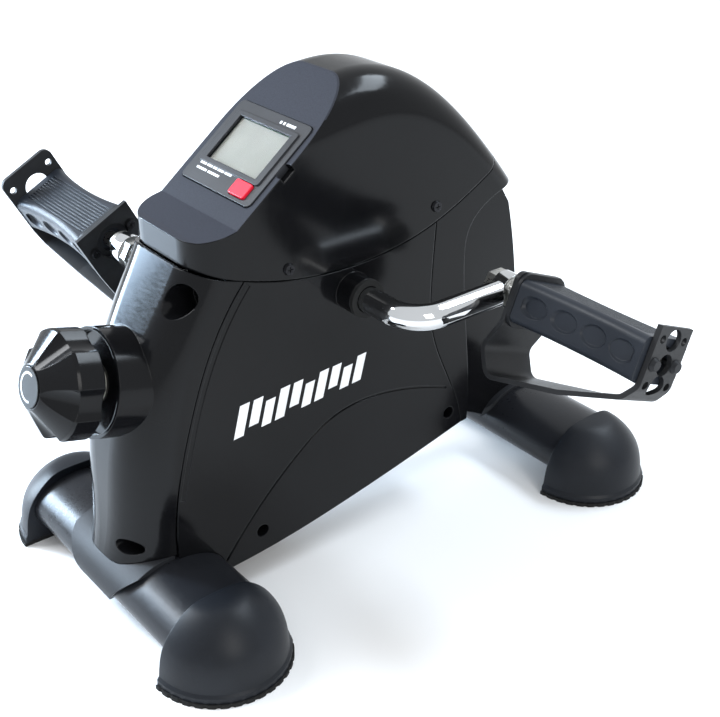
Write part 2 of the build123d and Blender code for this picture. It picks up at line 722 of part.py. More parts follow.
# ---------------------------------------------------------------- brake drum on the crank
DRUM_WEB_T = 4.0
HUB_R = BEARING_R
DRUM_SCREW_X = 8.0
MAGNET_R = 50.0

with BuildPart() as brake_drum:
    with BuildSketch(side_plane(-DRUM_HALF_W)):
        with Locations((AXLE_Y, AXLE_Z)):
            Circle(DRUM_R)
            Circle(DRUM_R - 5, mode=Mode.SUBTRACT)
    extrude(amount=2 * DRUM_HALF_W)
    with BuildSketch(side_plane(-DRUM_WEB_T / 2)):
        with Locations((AXLE_Y, AXLE_Z)):
            Circle(DRUM_R - 4.9)
            Circle(HUB_R - 0.5, mode=Mode.SUBTRACT)
            with PolarLocations(37, 6):
                Circle(9, mode=Mode.SUBTRACT)
    extrude(amount=DRUM_WEB_T)
    with BuildSketch(side_plane(-12)):
        with Locations((AXLE_Y, AXLE_Z)):
            Circle(HUB_R)
            Circle(ROD_R + 0.02, mode=Mode.SUBTRACT)
    extrude(amount=24)
    for side in (1, -1):
        with BuildSketch(Plane.XY.offset(AXLE_Z)):
            with Locations((side * DRUM_SCREW_X, AXLE_Y)):
                Circle(2.5)
        extrude(amount=HUB_R + 2, mode=Mode.SUBTRACT)
save(brake_drum, "brake_drum")

with BuildPart() as hub_screws:
    for side in (1, -1):
        with BuildSketch(Plane.XY.offset(AXLE_Z + ROD_R + 0.05)):
            with Locations((side * DRUM_SCREW_X, AXLE_Y)):
                Circle(2.45)
        extrude(amount=5.5)
        with BuildSketch(Plane.XY.offset(AXLE_Z + ROD_R + 3.5)):
            with Locations((side * DRUM_SCREW_X, AXLE_Y)):
                RegularPolygon(1.3, 6)
        extrude(amount=5, mode=Mode.SUBTRACT)
save(hub_screws, "hub_screws")

with BuildPart() as drum_magnet:
    with BuildSketch(side_plane(DRUM_WEB_T / 2 + 0.02)):
        with Locations((AXLE_Y, AXLE_Z + MAGNET_R)):
            Circle(4)
    extrude(amount=3)
save(drum_magnet, "drum_magnet")


# ---------------------------------------------------------------- cranks
def make_crank(node, side):
    """Bent round rod: half of the axle, a right-angle bend, the arm and its flat eye."""
    tip_y = AXLE_Y + side * CRANK_LEN
    with BuildPart() as crank:
        with BuildLine() as path:
            FilletPolyline((side * 0.5, AXLE_Y, AXLE_Z), (side * ARM_X, AXLE_Y, AXLE_Z),
                           (side * ARM_X, tip_y - side * (EYE_R - 3), AXLE_Z), radius=BEND_R)
        with BuildSketch(side_plane(side * 0.5)):
            with Locations((AXLE_Y, AXLE_Z)):
                Circle(ROD_R)
        sweep(path=path.line)
        with BuildSketch(side_plane(side * (ARM_X - EYE_T / 2))):
            with Locations((tip_y, AXLE_Z)):
                Circle(EYE_R)
        extrude(amount=side * EYE_T)
        with BuildSketch(side_plane(side * (ARM_X - 20))):
            with Locations((tip_y, AXLE_Z)):
                Circle(6.02)
        extrude(amount=side * 40, mode=Mode.SUBTRACT)
        with BuildSketch(side_plane(side * (ARM_X + EYE_T / 2))):
            with Locations((tip_y, AXLE_Z)):
                Circle(EYE_R)
        extrude(amount=side * 10, mode=Mode.SUBTRACT)
        with BuildSketch(side_plane(side * (ARM_X - EYE_T / 2))):
            with Locations((tip_y, AXLE_Z)):
                Circle(EYE_R)
        extrude(amount=-side * 10, mode=Mode.SUBTRACT)
    save(crank, node)


make_crank("crank_right", 1)
make_crank("crank_left", -1)


# ---------------------------------------------------------------- pedals
SPINDLE_R = 5.0
SPINDLE_TIP = 211.6
THREAD_R = 6.0


def make_spindle(node, side):
    y = AXLE_Y + side * CRANK_LEN
    with BuildPart() as spindle:
        for start, end, radius in ((83.0, 102.2, THREAD_R), (102.2, 106.5, 10.0),
                                   (106.5, SPINDLE_TIP, SPINDLE_R)):
            with BuildSketch(side_plane(side * start)):
                with Locations((y, AXLE_Z)):
                    Circle(radius)
            extrude(amount=side * (end - start))
        with BuildSketch(side_plane(side * 102.15)):
            with Locations((y, AXLE_Z)):
                Circle(12)
                Rectangle(17, 30, mode=Mode.SUBTRACT)
        extrude(amount=side * 4.5, mode=Mode.SUBTRACT)
    save(spindle, node)


make_spindle("pedal_spindle_right", 1)
make_spindle("pedal_spindle_left", -1)

with BuildPart() as spindle_nuts:
    for side in (1, -1):
        y = AXLE_Y + side * CRANK_LEN
        for start, length, across, hole in ((85.0, 6.9, 10.4, THREAD_R), (206.2, 4.6, 7.6, SPINDLE_R)):
            with BuildSketch(side_plane(side * start)):
                with Locations((y, AXLE_Z)):
                    RegularPolygon(across, 6)
                    Circle(hole + 0.02, mode=Mode.SUBTRACT)
            extrude(amount=side * length)
save(spindle_nuts, "spindle_nuts")


class PedalFrame:
    """Planes that turn with a pedal: sketch axes across the pedal (s) and through it (n)."""

    def __init__(self, side, roll):
        angle = radians(roll)
        self.side = side
        self.centre = (0, AXLE_Y + side * CRANK_LEN, AXLE_Z)
        self.across = (0, cos(angle), sin(angle))
        self.through = (0, -sin(angle), cos(angle))

    def cross(self, x):
        """Square to the spindle at distance x, sketch axes (s, n)."""
        origin = (self.side * x, self.centre[1], self.centre[2])
        return Plane(origin=origin, x_dir=self.across, z_dir=(1, 0, 0))

    def top(self, height):
        """Parallel to the tread, sketch axes (X, s)."""
        return Plane(origin=self.centre, x_dir=(1, 0, 0), z_dir=self.through).offset(height)

    def flank(self):
        """Through the spindle and square to the tread, sketch axes (X, n)."""
        return Plane(origin=self.centre, x_dir=(1, 0, 0), z_dir=tuple(-v for v in self.across))


PEDAL_SCREWS = [(-15, 2), (15, 2)]
GROOVES = 11
GROOVE_PITCH = 2.3
STRAP_HALF_W = 21.5
STRAP_BEND = 8.0
BIG_HOLE_R = 12.0
DENTS = [-32.0, -10.7, 10.7, 32.0]     # centres of the finger dents along a pedal's side
DENT = (10.4, 7.4)        # half length and half height of a dent's mouth
DENT_DEPTH = 1.6
DENT_CLEAR = 1.2
DENT_SHRINK = 2.2
STRAP_CORNER_R = 6.0
STUD_DEPTH = 4.5          # how far a strap stud is pressed into the pedal body


def make_pedal(tag, side, roll, strap_top, stud_s, stud_n, rows, tip_half_w, big_holes, big_r):
    frame = PedalFrame(side, roll)
    mid_x = side * (PEDAL_IN + PEDAL_OUT) / 2
    half_len = (PEDAL_OUT - PEDAL_IN) / 2
    inner = min(side * PEDAL_IN, side * PEDAL_OUT)
    outer = max(side * PEDAL_IN, side * PEDAL_OUT)

    with BuildPart() as body:
        with BuildSketch(frame.top(-PEDAL_HALF_H)):
            with BuildLine():
                Line((inner, -PEDAL_HALF_W), (inner, PEDAL_HALF_W))
                ThreePointArc((inner, PEDAL_HALF_W), (mid_x, PEDAL_HALF_W - WAIST), (outer, PEDAL_HALF_W))
                Line((outer, PEDAL_HALF_W), (outer, -PEDAL_HALF_W))
                ThreePointArc((outer, -PEDAL_HALF_W), (mid_x, -PEDAL_HALF_W + WAIST), (inner, -PEDAL_HALF_W))
            make_face()
        extrude(amount=2 * PEDAL_HALF_H)
        fillet(body.edges().filter_by(GeomType.CIRCLE), radius=5.0)
        for face in (1, -1):
            with BuildSketch(frame.top(face * PEDAL_HALF_H)):
                with GridLocations(1, GROOVE_PITCH, 1, GROOVES):
                    with Locations((mid_x, 0)):
                        SlotOverall(2 * half_len - 12, 1.1)
            extrude(amount=-face * 1.0, mode=Mode.SUBTRACT)
        for face in (1, -1):
            for offset in DENTS:
                reach = PEDAL_HALF_W - WAIST + WAIST * (offset / half_len) ** 2 + DENT_CLEAR
                for depth, shrink in ((0, 0), (DENT_DEPTH + DENT_CLEAR, DENT_SHRINK)):
                    with BuildSketch(frame.flank().offset(-face * (reach - depth))):
                        with Locations((mid_x + offset, 0)):
                            Ellipse(DENT[0] - shrink, DENT[1] - shrink)
                loft(mode=Mode.SUBTRACT)
        with BuildSketch(frame.cross(PEDAL_IN - 1)):
            Circle(SPINDLE_R + RUNNING)
        extrude(amount=side * 200, mode=Mode.SUBTRACT)
        with BuildSketch(frame.cross(PEDAL_OUT - 10)):
            Circle(9)
        extrude(amount=side * 30, mode=Mode.SUBTRACT)
        with BuildSketch(frame.cross(PEDAL_IN)):
            with Locations(*PEDAL_SCREWS):
                Circle(SHANK_R + 0.05)
        extrude(amount=side * 9, mode=Mode.SUBTRACT)
        with BuildSketch(frame.cross(PEDAL_OUT - STUD_DEPTH - 0.1)):
            with Locations((stud_s, stud_n), (-stud_s, stud_n)):
                Circle(2.45)
        extrude(amount=side * 30, mode=Mode.SUBTRACT)
    save(body, "pedal_body_" + tag)

    with BuildPart() as end_cap:
        with BuildSketch(frame.cross(PEDAL_IN - 2.5)):
            RectangleRounded(2 * STRAP_HALF_W, 34, 9)
            Circle(SPINDLE_R + 3, mode=Mode.SUBTRACT)
            with Locations(*PEDAL_SCREWS):
                Circle(SHANK_R + 0.05, mode=Mode.SUBTRACT)
        extrude(amount=side * 2.48)
    save(end_cap, "pedal_end_cap_" + tag)

    with BuildPart() as screws:
        with BuildSketch(frame.cross(PEDAL_IN - 5.55)):
            with Locations(*PEDAL_SCREWS):
                Circle(SHANK_R)
        extrude(amount=side * 13.5)
        with BuildSketch(frame.cross(PEDAL_IN - 5.53)):
            with Locations(*PEDAL_SCREWS):
                Circle(HEAD_R)
        extrude(amount=-side * 2.2, taper=18)
        with BuildSketch(frame.cross(PEDAL_IN - 9)):
            with Locations(*PEDAL_SCREWS):
                Rectangle(3.6, 0.8)
                Rectangle(0.8, 3.6)
        extrude(amount=side * 2.3, mode=Mode.SUBTRACT)
    save(screws, "pedal_screws_" + tag)

    course = [(118, 17), (118, -15), (110, -33), (120, -49), (172, -37), (209, -24), (215.8, -15),
              (215.8, strap_top)]
    with BuildPart() as strap:
        with BuildLine(frame.flank()) as path:
            FilletPolyline([(side * x, n) for x, n in course], radius=STRAP_BEND)
        with BuildSketch(Plane(origin=path.line @ 0, x_dir=frame.across, z_dir=path.line % 0)):
            Rectangle(2 * STRAP_HALF_W, STRAP_T)
        sweep(path=path.line)
        with BuildSketch(frame.top(-90)):
            near = side * 100
            taper = side * 188
            tip = side * 225
            with BuildLine():
                Polyline((near, -STRAP_HALF_W), (taper, -STRAP_HALF_W), (tip, -tip_half_w), (tip, tip_half_w),
                         (taper, STRAP_HALF_W), (near, STRAP_HALF_W), (near, -STRAP_HALF_W))
            make_face()
        extrude(amount=180, mode=Mode.INTERSECT)
        ends = strap.edges().filter_by(Axis.X).filter_by(lambda e: abs(e.length - STRAP_T) < 0.05)
        tip = ends.sort_by(Axis((0, 0, 0), frame.through))[-2:]
        fillet(tip, radius=STRAP_CORNER_R)
        with BuildSketch(frame.cross(PEDAL_IN - 30)):
            Circle(BIG_HOLE_R)
            with Locations(*PEDAL_SCREWS):
                Circle(SHANK_R + 0.05)
        extrude(amount=side * 30, mode=Mode.SUBTRACT)
        with BuildSketch(frame.cross(PEDAL_OUT - 5)):
            with Locations((stud_s, stud_n), (-stud_s, stud_n)):
                Circle(2.45)
            for n in rows:
                with Locations((stud_s, n), (-stud_s, n)):
                    Circle(2.45)
            for n in big_holes:
                with Locations((0, n)):
                    Circle(big_r)
        extrude(amount=side * 30, mode=Mode.SUBTRACT)
    save(strap, "pedal_strap_" + tag)

    with BuildPart() as studs:
        with BuildSketch(frame.cross(PEDAL_OUT - STUD_DEPTH)):
            with Locations((stud_s, stud_n), (-stud_s, stud_n)):
                Circle(2.4)
        extrude(amount=side * (STUD_DEPTH + 3.5))
        with BuildSketch(frame.cross(PEDAL_OUT + STRAP_T + 0.33)):
            with Locations((stud_s, stud_n), (-stud_s, stud_n)):
                Circle(4.2)
        extrude(amount=side * 2.6, taper=25)
    save(studs, "strap_studs_" + tag)


make_pedal("right", 1, ROLL_RIGHT, 21, 10.4, -1, [13.5, -13.5], 13.5, [-1, 13.5, -13.5], 6.4)
make_pedal("left", -1, ROLL_LEFT, 31, 16, 0, [21], STRAP_HALF_W, [-8.5, 12], 9.2)


# ---------------------------------------------------------------- tension knob, screw, nut and spring
KNOB_FOOT = 6.5           # along the knob axis, in front of the reference point
KNOB_RIM = 22.6           # where the cylindrical rim ends and the cone begins
KNOB_FACE = 36.1
KNOB_FACE_R = 12.8
KNOB_INSIDE_R = 22.0
KNOB_HUB_R = 11.0
KNOB_HUB_BACK = -3.3
KNOB_FIRST_FLUTE = 1      # degrees from +X
BADGE_R = 11.8
KNOB_LOBES = 5
LOBE_STEP = 360.0 / KNOB_LOBES
RIM_FLUTE_R = 20.0        # shallow flute along the rim between two lobes
RIM_FLUTE_AT = 28.5 + RIM_FLUTE_R
SCOOP_R = 14.0            # scoop in the cone between two lobes, zero deep at the face
SCOOP_FALL = 1.0          # how far the scoop's bottom drops for each unit of radius
SCREW_FRONT = 22.0
SCREW_TAIL = -58.0
NUT_FRONT = -44.0
NUT_TAIL = -70.0
NUT_BORE_END = -66.5
NUT_HALF_W = 15.7
NUT_HALF_H = 8.0
SPRING_R = 4.5
WIRE_R = 0.8
SPRING_TAIL = -114.0
SPRING_TURNS = 12
SPRING_START = NUT_TAIL - WIRE_R - 0.1


def on_knob(angle, radius, height):
    """Point at an angle around the knob axis, at a radius and a height along it."""
    return knob_plane(height).from_local_coords(Vector(radius, 0, 0).rotate(Axis.Z, angle))


def scoop_point(angle, radius):
    """Point of a scoop's axis: the scoop's bottom line moved out square to itself by the scoop's radius."""
    slant = sqrt(1 + SCOOP_FALL ** 2)
    height = KNOB_FACE - SCOOP_FALL * (radius - KNOB_FACE_R)
    return on_knob(angle, radius + SCOOP_R * SCOOP_FALL / slant, height + SCOOP_R / slant)


with BuildPart() as knob:
    with BuildSketch(Plane(origin=KNOB_AXIS_POINT, x_dir=(1, 0, 0), z_dir=(0, -sin(radians(KNOB_TILT)),
                                                                            -cos(radians(KNOB_TILT))))):
        with BuildLine():
            Polyline((0, KNOB_FACE), (KNOB_FACE_R, KNOB_FACE), (KNOB_R - 0.8, KNOB_RIM + 0.9),
                     (KNOB_R, KNOB_RIM - 1), (KNOB_R, KNOB_FOOT + 1), (KNOB_R - 1, KNOB_FOOT),
                     (KNOB_INSIDE_R, KNOB_FOOT), (KNOB_INSIDE_R, 14), (14, 22), (KNOB_HUB_R, 22),
                     (KNOB_HUB_R, KNOB_HUB_BACK), (0, KNOB_HUB_BACK), (0, KNOB_FACE))
        make_face()
    revolve(axis=Axis(KNOB_AXIS_POINT, KNOB_DIR))
    for lobe in range(KNOB_LOBES):
        flute = KNOB_FIRST_FLUTE + lobe * LOBE_STEP
        add(rod_between(on_knob(flute, RIM_FLUTE_AT, 0), on_knob(flute, RIM_FLUTE_AT, 50), RIM_FLUTE_R),
            mode=Mode.SUBTRACT)
        add(rod_between(scoop_point(flute, KNOB_FACE_R - 6), scoop_point(flute, KNOB_R + 20), SCOOP_R),
            mode=Mode.SUBTRACT)
    with BuildSketch(knob_plane(KNOB_FACE)):
        Circle(BADGE_R + 0.1)
    extrude(amount=-1.2, mode=Mode.SUBTRACT)
    with BuildSketch(knob_plane(SCREW_FRONT + 0.02)):
        Circle(SCREW_R + 0.02)
    extrude(amount=-60, mode=Mode.SUBTRACT)
save(knob, "knob")

with BuildPart() as knob_badge:
    with BuildSketch(knob_plane(KNOB_FACE - 1.18)):
        Circle(BADGE_R)
    extrude(amount=1.9)
save(knob_badge, "knob_badge")

with BuildPart() as tension_screw:
    with BuildSketch(knob_plane(SCREW_TAIL)):
        Circle(SCREW_R)
    extrude(amount=SCREW_FRONT - SCREW_TAIL)
    with BuildSketch(knob_plane(COLLAR_FLOOR - COLLAR_T - 18.5)):
        Circle(SCREW_R + 3.5)
        Circle(SCREW_R, mode=Mode.SUBTRACT)
    extrude(amount=-1.6)
save(tension_screw, "tension_screw")

with BuildPart() as knob_bushing:
    with BuildSketch(knob_plane(COLLAR_FLOOR + 0.02)):
        Circle(12)
    extrude(amount=1.2)
    with BuildSketch(knob_plane(COLLAR_FLOOR + 0.5)):
        Circle(BUSHING_R)
    extrude(amount=-21.5)
    with BuildSketch(knob_plane(COLLAR_FLOOR + 2)):
        Circle(SCREW_R + RUNNING)
    extrude(amount=-30, mode=Mode.SUBTRACT)
save(knob_bushing, "knob_bushing")

with BuildPart() as tension_nut:
    with BuildSketch(knob_plane(NUT_TAIL)):
        Rectangle(2 * NUT_HALF_W, 2 * NUT_HALF_H)
    extrude(amount=NUT_FRONT - NUT_TAIL)
    with BuildSketch(knob_plane(NUT_BORE_END)):
        Circle(SCREW_R + RUNNING)
    extrude(amount=60, mode=Mode.SUBTRACT)
    fillet(tension_nut.edges().filter_by(Axis(KNOB_AXIS_POINT, KNOB_DIR)), radius=1.5)
save(tension_nut, "tension_nut")

SPRING_TOP = knob_plane(SPRING_START).origin
SPRING_LEN = SPRING_START - SPRING_TAIL
with BuildPart() as tension_spring:
    with BuildLine() as coil:
        Helix(pitch=SPRING_LEN / SPRING_TURNS, height=SPRING_LEN, radius=SPRING_R, center=SPRING_TOP,
              direction=tuple(-v for v in KNOB_DIR))
    with BuildSketch(Plane(origin=coil.line @ 0, z_dir=coil.line % 0)):
        Circle(WIRE_R)
    sweep(path=coil.line, is_frenet=True)
save(tension_spring, "tension_spring")


# ---------------------------------------------------------------- brake band around the drum
BAND_R = 67.0
BAND_T = 1.2
BAND_HALF_W = 8.0
LINING_IN = DRUM_R + 0.35
BAND_START = -104.9       # degrees around the axle, where the band leaves the drum towards the spring
BAND_END = 95.0


def on_band(angle, radius=BAND_R):
    """Point of the band around the axle, at an angle counted from +Y towards +Z."""
    return (AXLE_Y + radius * cos(radians(angle)), AXLE_Z + radius * sin(radians(angle)))


def along_knob(height):
    """Point of the knob axis, as (y, z)."""
    point = knob_plane(height).origin
    return (point.Y, point.Z)


BAND_HOOK = along_knob(SPRING_TAIL - 6.5)
TANGENT = (-sin(radians(BAND_END)), cos(radians(BAND_END)))
ANCHOR = (on_band(BAND_END)[0] + 22 * TANGENT[0], on_band(BAND_END)[1] + 22 * TANGENT[1])

with BuildPart() as brake_band:
    with BuildLine(side_plane(-BAND_HALF_W)) as course:
        Line(BAND_HOOK, on_band(BAND_START))
        ThreePointArc(on_band(BAND_START), on_band((BAND_START + BAND_END) / 2), on_band(BAND_END))
        Line(on_band(BAND_END), ANCHOR)
    with BuildSketch(Plane(origin=course.line @ 0, x_dir=(1, 0, 0), z_dir=course.line % 0)):
        with Locations((BAND_HALF_W, 0)):
            Rectangle(2 * BAND_HALF_W, BAND_T)
    sweep(path=course.line, transition=Transition.RIGHT)
    with BuildSketch(knob_plane(SPRING_TAIL - 7.5)):
        Rectangle(2 * BAND_HALF_W, 12)
    extrude(amount=2.4)
    with BuildSketch(side_plane(0)):
        with Locations(ANCHOR):
            Circle(5)
    extrude(amount=BAND_HALF_W, both=True)
    with BuildSketch(side_plane(0)):
        with Locations(ANCHOR):
            Circle(3.4)
    extrude(amount=20, both=True, mode=Mode.SUBTRACT)
save(brake_band, "brake_band")

with BuildPart() as brake_lining:
    with BuildSketch(side_plane(0)):
        with Locations((AXLE_Y, AXLE_Z)):
            Circle(BAND_R - BAND_T / 2 - 0.02)
            Circle(LINING_IN, mode=Mode.SUBTRACT)
        with BuildLine():
            Polyline((AXLE_Y, AXLE_Z), on_band(BAND_END - 2, 90), on_band(60, 150), on_band(0, 150),
                     on_band(-60, 150), on_band(BAND_START + 2, 90), (AXLE_Y, AXLE_Z))
        make_face(mode=Mode.INTERSECT)
    extrude(amount=BAND_HALF_W - 0.4, both=True)
save(brake_lining, "brake_lining")

with BuildPart() as band_anchor:
    with BuildSketch(side_plane(0)):
        with Locations(ANCHOR):
            Circle(3.35)
    extrude(amount=PLATE_X - 0.02, both=True)
save(band_anchor, "band_anchor")


# ---------------------------------------------------------------- wheel sensor and its lead
SENSOR_AT = (9.0, 220.0)
LEAD_ROUTE = [(13, 5, 224.6), (13, 3, 240), (12, -8, 254), (10, -20, 263), (8, -33, 267)]
LEAD_BEND = 10.0

with BuildPart() as reed_sensor:
    with BuildSketch(side_plane(10.5)):
        with Locations(SENSOR_AT):
            RectangleRounded(22, 9, 2)
    extrude(amount=5.3)
save(reed_sensor, "reed_sensor")

with BuildPart() as sensor_lead:
    with BuildLine() as lead:
        FilletPolyline(*LEAD_ROUTE, radius=LEAD_BEND)
    with BuildSketch(Plane(origin=lead.line @ 0, z_dir=lead.line % 0)):
        Circle(1.2)
    sweep(path=lead.line)
save(sensor_lead, "sensor_lead")


# ---------------------------------------------------------------- console
CASE_SKIN = 2.0
LENS = (50.0, 32.0)
LCD_LOCAL_Y = 3.1
BUTTON = (15.0, 10.0)
BUTTON_AT = (20.0, -21.7)
BUTTON_TRAVEL = 1.0
CASE_TOP = 0.8
BOARD_TOP = CASE_TOP - 5.6
CASE_BOTTOM = CASE_TOP - CONSOLE_T + 2.2

with BuildPart() as console_case:
    with BuildSketch(console_plane(CASE_BOTTOM)):
        RectangleRounded(CONSOLE_W, CONSOLE_L, 3.5)
    extrude(amount=CASE_TOP - CASE_BOTTOM)
    with BuildSketch(console_plane(CASE_TOP)):
        with Locations((0, LCD_LOCAL_Y)):
            RectangleRounded(60, 38.5, 2)
    extrude(amount=1.0)
    with BuildSketch(console_plane(CASE_BOTTOM)):
        RectangleRounded(CONSOLE_W - 2 * CASE_SKIN, CONSOLE_L - 2 * CASE_SKIN, 2)
    extrude(amount=CASE_TOP - CASE_BOTTOM - CASE_SKIN, mode=Mode.SUBTRACT)
    with BuildSketch(console_plane(CASE_BOTTOM)):
        with Locations((0, LCD_LOCAL_Y)):
            Rectangle(*LENS)
        with Locations(BUTTON_AT):
            RectangleRounded(BUTTON[0] + 0.8, BUTTON[1] + 0.8, 1.6)
    extrude(amount=30, mode=Mode.SUBTRACT)
    with BuildSketch(console_plane(CASE_BOTTOM + 4)):
        with Locations((0, LCD_LOCAL_Y)):
            Rectangle(LENS[0] + 4, LENS[1] + 4)
    extrude(amount=CASE_TOP - CASE_BOTTOM - 4.6, mode=Mode.SUBTRACT)
save(console_case, "console_case")

with BuildPart() as console_back:
    with BuildSketch(console_plane(CASE_BOTTOM - 0.02)):
        RectangleRounded(CONSOLE_W, CONSOLE_L, 3.5)
        with Locations((20, 12)):
            Circle(6.1, mode=Mode.SUBTRACT)
    extrude(amount=-2)
    with BuildSketch(console_plane(CASE_BOTTOM - 0.5)):
        RectangleRounded(CONSOLE_W - 2 * CASE_SKIN - 0.1, CONSOLE_L - 2 * CASE_SKIN - 0.1, 2)
        RectangleRounded(CONSOLE_W - 2 * CASE_SKIN - 4, CONSOLE_L - 2 * CASE_SKIN - 4, 1, mode=Mode.SUBTRACT)
    extrude(amount=2.4)
save(console_back, "console_back")

with BuildPart() as console_lens:
    with BuildSketch(console_plane(CASE_TOP - 0.62)):
        with Locations((0, LCD_LOCAL_Y)):
            Rectangle(LENS[0] + 3.6, LENS[1] + 3.6)
    extrude(amount=-1.2)
save(console_lens, "console_lens")

with BuildPart() as lcd_panel:
    with BuildSketch(console_plane(CASE_TOP - 2.0)):
        with Locations((0, LCD_LOCAL_Y)):
            Rectangle(LENS[0] - 1, LENS[1] - 1)
    extrude(amount=-2)
save(lcd_panel, "lcd_panel")

with BuildPart() as console_board:
    with BuildSketch(console_plane(BOARD_TOP)):
        Rectangle(CONSOLE_W - 10, CONSOLE_L - 10)
    extrude(amount=-1.6)
    with BuildSketch(console_plane(BOARD_TOP - 0.1)):
        with Locations((BUTTON_AT[0], BUTTON_AT[1] + 1)):
            Circle(2)
    extrude(amount=0.6)
save(console_board, "console_board")

with BuildPart() as button_cell:
    with BuildSketch(console_plane(CASE_BOTTOM - 0.6)):
        with Locations((20, 12)):
            Circle(5.8)
    extrude(amount=3.4)
save(button_cell, "button_cell")

with BuildPart() as reset_button:
    with BuildSketch(console_plane(CASE_TOP - CASE_SKIN - 0.7)):
        with Locations(BUTTON_AT):
            RectangleRounded(BUTTON[0] + 2.6, BUTTON[1] + 0.6, 1.4)
    extrude(amount=-1.0)
    with BuildSketch(console_plane(CASE_TOP - CASE_SKIN - 1.0)):
        with Locations(BUTTON_AT):
            RectangleRounded(*BUTTON, 1.4)
    extrude(amount=CASE_SKIN + 1.0 + 1.6)
    fillet(reset_button.faces().sort_by(Axis((0, 0, 0), FACET_NORMAL))[-1].edges(), radius=0.5)
save(reset_button, "reset_button")
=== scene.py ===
"""Pedal exerciser: materials, fine detail, floor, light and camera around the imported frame."""
import json
import math

import bmesh
import bpy
from mathutils import Matrix, Vector


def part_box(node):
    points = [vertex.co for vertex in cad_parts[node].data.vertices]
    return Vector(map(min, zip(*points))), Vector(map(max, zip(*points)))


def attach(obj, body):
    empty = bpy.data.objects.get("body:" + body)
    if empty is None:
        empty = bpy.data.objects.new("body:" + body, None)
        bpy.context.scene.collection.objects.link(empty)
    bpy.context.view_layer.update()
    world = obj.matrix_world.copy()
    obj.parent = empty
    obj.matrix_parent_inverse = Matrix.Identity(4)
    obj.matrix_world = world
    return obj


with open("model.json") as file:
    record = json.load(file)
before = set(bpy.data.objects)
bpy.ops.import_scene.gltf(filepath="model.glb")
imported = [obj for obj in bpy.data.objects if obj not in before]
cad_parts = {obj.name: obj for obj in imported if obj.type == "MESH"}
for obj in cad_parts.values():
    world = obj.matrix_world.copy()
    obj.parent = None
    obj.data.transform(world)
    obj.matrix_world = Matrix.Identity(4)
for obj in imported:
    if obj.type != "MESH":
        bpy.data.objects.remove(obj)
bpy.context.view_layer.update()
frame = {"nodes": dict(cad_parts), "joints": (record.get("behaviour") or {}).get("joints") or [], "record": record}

MM = 0.001


# ------------------------------------------------------------------ node helpers
class Shader:
    """A principled material with a few shorthand methods for building its nodes."""

    def __init__(self, name):
        self.mat = bpy.data.materials.new(name)
        self.mat.use_nodes = True
        self.nodes = self.mat.node_tree.nodes
        self.links = self.mat.node_tree.links
        self.bsdf = self.nodes["Principled BSDF"]
        self.coord = self.nodes.new("ShaderNodeTexCoord").outputs["Object"]

    def put(self, **values):
        for key, value in values.items():
            self.bsdf.inputs[key.replace("_", " ")].default_value = value

    def link(self, source, socket):
        self.links.new(source, self.bsdf.inputs[socket])

    def noise(self, scale, detail=3.0, rough=0.55, stretch=None):
        node = self.nodes.new("ShaderNodeTexNoise")
        node.inputs["Scale"].default_value = scale
        node.inputs["Detail"].default_value = detail
        node.inputs["Roughness"].default_value = rough
        self.links.new(self.stretched(stretch), node.inputs["Vector"])
        return node.outputs["Fac"]

    def voronoi(self, scale, feature="F1"):
        node = self.nodes.new("ShaderNodeTexVoronoi")
        node.feature = feature
        node.inputs["Scale"].default_value = scale
        self.links.new(self.coord, node.inputs["Vector"])
        return node.outputs["Distance"]

    def stretched(self, factors):
        if factors is None:
            return self.coord
        node = self.nodes.new("ShaderNodeMapping")
        node.inputs["Scale"].default_value = factors
        self.links.new(self.coord, node.inputs["Vector"])
        return node.outputs["Vector"]

    def spread(self, source, low, high, start=0.3, end=0.7):
        node = self.nodes.new("ShaderNodeMapRange")
        for key, value in (("From Min", start), ("From Max", end), ("To Min", low), ("To Max", high)):
            node.inputs[key].default_value = value
        self.links.new(source, node.inputs["Value"])
        return node.outputs["Result"]

    def math(self, operation, first, second=None):
        node = self.nodes.new("ShaderNodeMath")
        node.operation = operation
        for index, value in enumerate((first, second)):
            if value is None:
                continue
            if isinstance(value, (int, float)):
                node.inputs[index].default_value = value
            else:
                self.links.new(value, node.inputs[index])
        return node.outputs["Value"]

    def mix(self, factor, first, second):
        node = self.nodes.new("ShaderNodeMix")
        node.data_type = "RGBA"
        self.links.new(factor, node.inputs["Factor"])
        for key, value in ((6, first), (7, second)):
            if isinstance(value, (tuple, list)):
                node.inputs[key].default_value = (*value, 1.0)
            else:
                self.links.new(value, node.inputs[key])
        return node.outputs[2]

    def relief(self, heights, bevel=0.0004):
        """Bumps stacked over a rounded-edge normal: heights is a list of (source, strength, metres)."""
        rounded = self.nodes.new("ShaderNodeBevel")
        rounded.samples = 6
        rounded.inputs["Radius"].default_value = bevel
        normal = rounded.outputs["Normal"]
        for source, strength, distance in heights:
            bump = self.nodes.new("ShaderNodeBump")
            bump.inputs["Strength"].default_value = strength
            bump.inputs["Distance"].default_value = distance
            self.links.new(source, bump.inputs["Height"])
            self.links.new(normal, bump.inputs["Normal"])
            normal = bump.outputs["Normal"]
        self.link(normal, "Normal")


def plastic(name, dark, light, rough, grain=900.0, depth=0.00003, strength=0.35, bevel=0.0005, level=0.22):
    """Moulded plastic: slight colour drift, uneven gloss, fine grain."""
    s = Shader(name)
    drift = s.noise(22.0, 4.0)
    fine = s.noise(grain, 3.0)
    s.link(s.mix(s.spread(drift, 0.0, 1.0), dark, light), "Base Color")
    s.link(s.spread(s.math("ADD", s.math("MULTIPLY", drift, 0.5), s.math("MULTIPLY", fine, 0.5)), rough[0],
                    rough[1]), "Roughness")
    s.put(Specular_IOR_Level=level)
    s.relief([(fine, strength, depth)], bevel)
    return s.mat


GLOSS_DARK, GLOSS_LIGHT = (0.0030, 0.0031, 0.0036), (0.0048, 0.0050, 0.0058)
GLOSS_LEVEL = 0.17
DULL_LEVEL = 0.05


